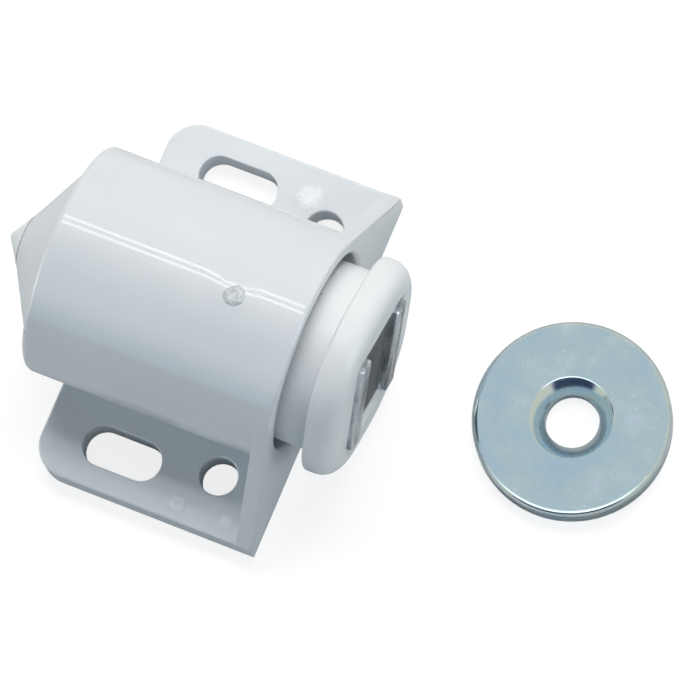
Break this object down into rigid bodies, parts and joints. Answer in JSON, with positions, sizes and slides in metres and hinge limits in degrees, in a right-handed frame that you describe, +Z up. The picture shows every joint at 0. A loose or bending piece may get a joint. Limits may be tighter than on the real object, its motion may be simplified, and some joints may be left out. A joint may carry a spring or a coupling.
{
  "type": "cupboard catch latch",
  "caption": "Push-to-open magnetic cupboard catch: a flanged barrel with a sprung, magnet-tipped plunger, and a countersunk steel strike disc for the door.",
  "frame": {"origin": "on the mounting face, midway between the two round screw holes", "axes": "+X along the barrel towards the plunger's head, +Z up out of the mounting face, +Y across the flanges"},
  "size_m": [0.0694, 0.04, 0.0244],
  "materials": {
    "housing_plastic": "gloss, cool pale grey-white moulding",
    "plunger_plastic": "satin, slightly whiter moulding",
    "inner_plastic": "plain acetal moulding",
    "magnet": "dull dark ferrite",
    "pole_steel": "zinc-plated, sheared edges",
    "disc_steel": "bright blue-white zinc plate",
    "spring_steel": "drawn spring wire"
  },
  "bodies": {
    "housing": {"housing": "housing_plastic", "end_cap": "housing_plastic", "cam_spindle": "plunger_plastic", "spring": "spring_steel", "strike_disc": "disc_steel"},
    "plunger": {"plunger": "plunger_plastic", "magnet": "magnet", "pole_plate_upper": "pole_steel", "pole_plate_lower": "pole_steel", "rotor_retainer": "inner_plastic"},
    "index_rotor": {"index_rotor": "inner_plastic"}
  },
  "joints": [
    {"name": "plunger_slide", "type": "slide", "parent": "housing", "child": "plunger", "axis": [1, 0, 0], "range_m": [-0.0028, 0.008], "deforming": ["spring"]},
    {"name": "rotor_turn", "type": "hinge", "parent": "plunger", "child": "index_rotor", "pos_m": [-0.0077, 0, 0.0122], "axis": [1, 0, 0], "continuous": true}
  ]
}
